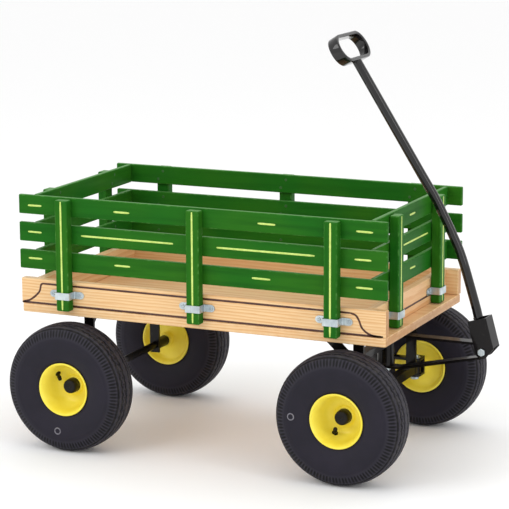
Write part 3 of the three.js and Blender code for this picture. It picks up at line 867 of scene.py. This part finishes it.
# The pressed rim's section as (radius, along), outboard positive, in millimetres.
RIM_FACE = [(21.5, -16.2), (27, -17), (33, -15.6), (38.5, -12), (42.3, -6), (44.6, 2), (46.2, 12),
            (47.6, 21), (49.4, 28), (51.6, 32.4), (53.6, 34.6), (55.3, 34.6), (56, 33), (55.4, 31.4)]
RIM_BACK = [(53.6, 31), (52.2, 28.6), (51.2, 25), (50.9, 12), (48.9, 6), (48.9, -6), (50.9, -12),
            (51.2, -25), (52.2, -28.6), (54.4, -31), (56.4, -31.4), (57.1, -33), (56.3, -34.9),
            (54.2, -35), (51.6, -32.4), (49.4, -28), (47.6, -23), (46, -19.6), (40, -18.4), (33, -19.4),
            (22, -20.2)]


RIM_LIP_RADIUS = 54.5 * MM


def rim_mesh():
    boss = [(8.6, -11.8), (18.4, -11.8), (19.6, -12.8), (20.2, -15)]
    barrel = [(17.2, -21), (16, -22.5), (16, -37), (15.2, -37.8), (8.6, -37.8)]
    outline = [(r * MM, y * MM) for r, y in boss + RIM_FACE + RIM_BACK + barrel]
    bm = bmesh.new()
    revolve(bm, outline, 96)
    layer = bm.verts.layers.float.new("edge")
    for v in bm.verts:
        on_lip = math.hypot(v.co.x, v.co.z) > RIM_LIP_RADIUS
        v[layer] = 0.8 if on_lip else 0.0
    return mesh_from("rim_pressing", bm)


def hub_cap_mesh():
    outline = [(0, 6.6), (5, 6.8), (8.4, 7.6), (11.2, 8), (13.2, 7.2), (14.4, 5.2), (15, 1),
               (15.6, -11.8), (10, -11.8), (10, -3), (0, -3)]
    bm = bmesh.new()
    revolve(bm, [(max(r, 0.001) * MM, y * MM) for r, y in outline], 64)
    return mesh_from("hub_cap_moulding", bm)


def valve_mesh():
    """A rubber valve: its grommet in the rim's wall, its stem, and a ribbed cap."""
    outline = [(0, -4), (7.2, -4), (7.4, -1), (6.2, 1.2), (4.2, 2.2), (3.6, 5), (3.4, 13), (4.3, 13.6)]
    outline += [(4.3 - 0.35 * (k % 2), 14.4 + 0.8 * k) for k in range(8)]
    outline += [(4, 21), (3.2, 21.8), (0, 22)]
    bm = bmesh.new()
    revolve(bm, [(max(r, 0.001) * MM, y * MM) for r, y in outline], 28)
    return mesh_from("valve_moulding", bm)


# How far each wheel happens to be rolled round, as the angle of its valve from straight up.
VALVE_TURN = {
    ("rear", "right"): -59,
    ("front", "right"): -152,
    ("rear", "left"): 66,
    ("front", "left"): 190,
}


# Where each tyre's moulded ring sits: its angle from straight up, and its distance from the hub.
RING_MARK = {
    ("rear", "right"): (-173, 0.088),
    ("front", "right"): (-89, 0.093),
    ("rear", "left"): (118, 0.088),
    ("front", "left"): (35, 0.093),
}


VALVE_FOOT = Vector((0, -8.5, 41.5)) * MM  # the valve's hole in the rim's wall
VALVE_LEAN = -48  # towards the hub


def wheels():
    tyre, rim, cap, valve = tyre_mesh(), rim_mesh(), hub_cap_mesh(), valve_mesh()
    ring = ring_mark_mesh()
    for (end, side), turn in VALVE_TURN.items():
        name = f"{end}_{side}"
        hub = Vector(JOINTS[f"{name}_wheel_spin"]["pos_m"])
        body = name + "_wheel"
        outboard = Matrix.Rotation(0 if side == "left" else math.pi, 4, "Z")
        place = Matrix.Translation(hub) @ outboard
        put(name + "_tyre_rubber", tyre, RUBBER, body, [name + "_tyre"], place)
        put(name + "_rim_steel", rim, YELLOW, body, [name + "_rim"], place)
        put(name + "_cap_plastic", cap, PLASTIC, body, [name + "_hub_cap"], place)
        rolled = Matrix.Rotation(math.radians(turn), 4, "Y")
        lean = Matrix.Rotation(math.radians(VALVE_LEAN), 4, "X")
        foot = Matrix.Translation(VALVE_FOOT)
        at = Matrix.Translation(hub) @ rolled @ outboard @ foot @ lean
        put(name + "_valve", valve, PLASTIC, body, (), at)
        angle, reach = RING_MARK[(end, side)]
        marked = Matrix.Rotation(math.radians(angle), 4, "Y")
        at = Matrix.Translation(hub) @ marked @ outboard @ Matrix.Translation((0, 0, reach))
        put(name + "_tyre_ring_mark", ring, MARK, body, (), at)


# ------------------------------------------------------------------ undercarriage
def softened(node, body, material, radius=0.7 * MM):
    """A CAD piece with its sharp edges broken."""
    bm = bmesh.new()
    bm.from_mesh(frame["nodes"][node].data)
    bmesh.ops.remove_doubles(bm, verts=bm.verts, dist=1e-6)
    bmesh.ops.dissolve_limit(
        bm, angle_limit=math.radians(1), verts=bm.verts, edges=bm.edges
    )
    sharp = [
        e for e in bm.edges
        if len(e.link_faces) == 2 and e.calc_face_angle() > math.radians(35)
    ]
    before = {tuple(round(c, 6) for c in v.co) for v in bm.verts}
    bmesh.ops.bevel(
        bm, geom=sharp, offset=radius, segments=2, profile=0.5, affect="EDGES", clamp_overlap=True
    )
    layer = bm.verts.layers.float.new("edge")
    for v in bm.verts:
        v[layer] = 0.0 if tuple(round(c, 6) for c in v.co) in before else 1.0
    mesh = mesh_from(node + "_softened", bm)
    return keep_flats(put(node + "_steel", mesh, material, body, [node]))


def undercarriage():
    for node, body in (
        ("rear_axle_bracket", "cart"),
        ("rear_axle", "cart"),
        ("front_axle_bracket", "cart"),
        ("left_steering_knuckle", "left_knuckle"),
        ("right_steering_knuckle", "right_knuckle"),
        ("tie_bar", "tie_bar"),
        ("tongue", "tongue"),
    ):
        softened(node, body, BLACK)
    softened("tongue_kingpin", "cart", ZINC, 0.5 * MM)
    plate_bolts()
    steering_nuts()


PLATE_THICKNESS = 6.2 * MM
PLATE_SCREWS_X = (-13, 13)
PLATE_SCREWS_Y = (-168, 168, -70, 70)


def plate_bolts():
    """Lag screws up through each plate into the deck."""
    heads = bmesh.new()
    for end in ENDS:
        plate = centre_of("rear_axle") if end == "rear" else PIVOT
        plate_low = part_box("deck")[0].z - PLATE_THICKNESS
        for dx in PLATE_SCREWS_X:
            for dy in PLATE_SCREWS_Y:
                at = Vector((plate.x + dx * MM, dy * MM, 0))
                hex_bolt(heads, (at.x, at.y, plate_low), (0, 0, -1), 0.011, 0.005, 0.0085)
    put("plate_screws", mesh_from("plate_screws", heads), ZINC, "cart")


KINGPIN_END = 6 * MM  # how far the kingpin stands past its yoke


def steering_nuts():
    """A nut and a washer on each end of the two kingpins."""
    for side in SIDES:
        low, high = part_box(f"{side}_steering_knuckle")
        at = Vector(JOINTS[f"{side}_knuckle_steer"]["pos_m"])
        bm = bmesh.new()
        hex_bolt(bm, (at.x, at.y, high.z - KINGPIN_END), (0, 0, 1), 0.016, 0.005, 0.012)
        hex_bolt(bm, (at.x, at.y, low.z + KINGPIN_END), (0, 0, -1), 0.016, 0.005, 0.012)
        mesh = mesh_from(f"{side}_kingpin_nuts", bm)
        put(f"{side}_kingpin_nuts", mesh, ZINC, f"{side}_knuckle")


# ------------------------------------------------------------------ handle
# The shaft's middle line, from inside the clevis to the grip, as (forward, up) from the pin.
SHAFT_LINE = [(-6.5, 31), (-15, 69), (-24, 101), (-49, 180), (-68, 224), (-106, 297),
              (-144, 357), (-260, 540), (-280, 571.5)]
SHAFT_RADIUS = 9.5 * MM
SHAFT_TOP_RUN = PIN + Vector((-260, 0, 540)) * MM  # on the straight top run, below its end
GRIP = {"width": 144, "height": 61, "depth": 24, "wall": 7.5}
GRIP_SOFT = 2.6 * MM


def handle():
    bm = bmesh.new()
    path = smooth_curve([PIN + Vector((x, 0, z)) * MM for x, z in SHAFT_LINE], 8)
    tube(bm, path, SHAFT_RADIUS, 28)
    grip_loop(bm, path[-1], (path[-1] - SHAFT_TOP_RUN).normalized())
    mesh = mesh_from("handle_bar", bm)
    put("pull_handle_bar", mesh, GLOSS, "handle", ["pull_handle"])
    softened("handle_clevis", "handle", BLACK, 1.2 * MM)
    handle_bolt()


def grip_loop(bm, root, up):
    """The oval grip: a flat band, bent round, in the plane of the shaft and the cart's width."""
    across = Vector((0, 1, 0))
    through = across.cross(up)
    half_wide, half_high = GRIP["width"] / 2 * MM, GRIP["height"] / 2 * MM
    wall, deep = GRIP["wall"] * MM, GRIP["depth"] * MM
    centre = root + up * (half_high - 3 * MM)
    r = half_high - wall / 2
    flat = half_wide - wall / 2 - r
    line = []
    for way in (1, -1):
        for k in range(25):
            a = math.pi * k / 24 - math.pi / 2
            line.append((way * (flat + r * math.cos(a)), way * r * math.sin(a), way, a))
    rings = []
    for x, z, way, a in line:
        out = across * (way * math.cos(a)) + up * (way * math.sin(a))
        at = centre + across * x + up * z
        ring = []
        for quarter, (sx, sy) in enumerate(((1, 1), (-1, 1), (-1, -1), (1, -1))):
            for k in range(4):
                t = math.pi / 2 * (quarter + k / 3)
                px = sx * (wall / 2 - GRIP_SOFT) + GRIP_SOFT * math.cos(t)
                py = sy * (deep / 2 - GRIP_SOFT) + GRIP_SOFT * math.sin(t)
                ring.append(at + out * px + through * py)
        rings.append(ring)
    loft(bm, rings, closed_path=True)


SHANK = 4.9 * MM  # the handle bolt's radius


def handle_bolt():
    """The cross bolt: a hexagon head on the right cheek, a nut on the left, a shank between."""
    clevis_low, clevis_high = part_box("handle_clevis")
    bm = bmesh.new()
    hex_bolt(bm, (PIN.x, clevis_low.y, PIN.z), (0, -1, 0), 0.0142, 0.0048, 0)
    hex_bolt(bm, (PIN.x, clevis_high.y, PIN.z), (0, 1, 0), 0.0156, 0.0062, 0, 0.003)
    rings = []
    for y in (clevis_low.y, clevis_high.y):
        ring = []
        for t in circle(20):
            ring.append(Vector((PIN.x + SHANK * math.cos(t), y, PIN.z + SHANK * math.sin(t))))
        rings.append(ring)
    loft(bm, rings)
    mesh = mesh_from("handle_bolt_turned", bm)
    keep_flats(put("handle_bolt_steel", mesh, ZINC, "handle", ["handle_bolt"]))


# ------------------------------------------------------------------ camera, light and floor
CAMERA_AZIMUTH, CAMERA_ELEVATION, CAMERA_ROLL = 24.38, 11.54, -0.26  # degrees
CAMERA_DISTANCE, CAMERA_LENS = 4.726, 158.1  # metres, and millimetres on a 36 mm sensor
CAMERA_TARGET = Vector((bed.x, 0.0589, 0.3791))


def camera():
    azimuth, elevation = math.radians(CAMERA_AZIMUTH), math.radians(CAMERA_ELEVATION)
    roll = math.radians(CAMERA_ROLL)
    back = Vector(
        (
            math.sin(azimuth) * math.cos(elevation),
            -math.cos(azimuth) * math.cos(elevation),
            math.sin(elevation),
        )
    )
    data = bpy.data.cameras.new("camera")
    data.sensor_width = 36
    data.lens = CAMERA_LENS
    data.clip_end = 50
    seen = bpy.data.objects.new("camera", data)
    bpy.context.scene.collection.objects.link(seen)
    right = Vector((0, 0, 1)).cross(back).normalized()
    up = back.cross(right)
    turned_right = right * math.cos(roll) + up * math.sin(roll)
    turned_up = up * math.cos(roll) - right * math.sin(roll)
    spin = Matrix((turned_right, turned_up, back)).transposed().to_4x4()
    seen.matrix_world = Matrix.Translation(CAMERA_TARGET + back * CAMERA_DISTANCE) @ spin
    bpy.context.scene.camera = seen


def softbox(name, at, towards, size, power):
    data = bpy.data.lights.new(name, "AREA")
    data.shape = "RECTANGLE"
    data.size, data.size_y = size
    data.energy = power
    light = bpy.data.objects.new(name, data)
    bpy.context.scene.collection.objects.link(light)
    aim = (Vector(towards) - Vector(at)).to_track_quat("-Z", "Y")
    light.matrix_world = Matrix.Translation(at) @ aim.to_matrix().to_4x4()


def studio():
    bpy.context.scene.view_settings.view_transform = "Standard"
    world = bpy.data.worlds.new("studio")
    bpy.context.scene.world = world
    world.use_nodes = True
    backdrop = world.node_tree.nodes["Background"]
    backdrop.inputs["Color"].default_value = (1, 1, 1, 1)
    backdrop.inputs["Strength"].default_value = 1.0
    middle = (0, 0, 0.35)
    softbox("key", (-1.5, -2.9, 2.3), middle, (2.0, 1.4), 28)
    softbox("top", (0.2, 0.6, 3.2), middle, (2.6, 2.0), 14)
    softbox("strip", (2.6, -1.0, 1.7), (0.3, 0, 0.6), (0.4, 1.6), 9)
    paper = Graph("floor_paper")
    paper.set("Base Color", (0.97, 0.97, 0.97))
    paper.set("Roughness", 0.9)
    bm = bmesh.new()
    bmesh.ops.create_grid(bm, x_segments=1, y_segments=1, size=30)
    floor = bpy.data.objects.new("floor", mesh_from("floor", bm, smooth=False))
    bpy.context.scene.collection.objects.link(floor)
    floor.data.materials.append(paper.material)


camera()
studio()
tray()
racks()
straps()
wheels()
undercarriage()
handle()
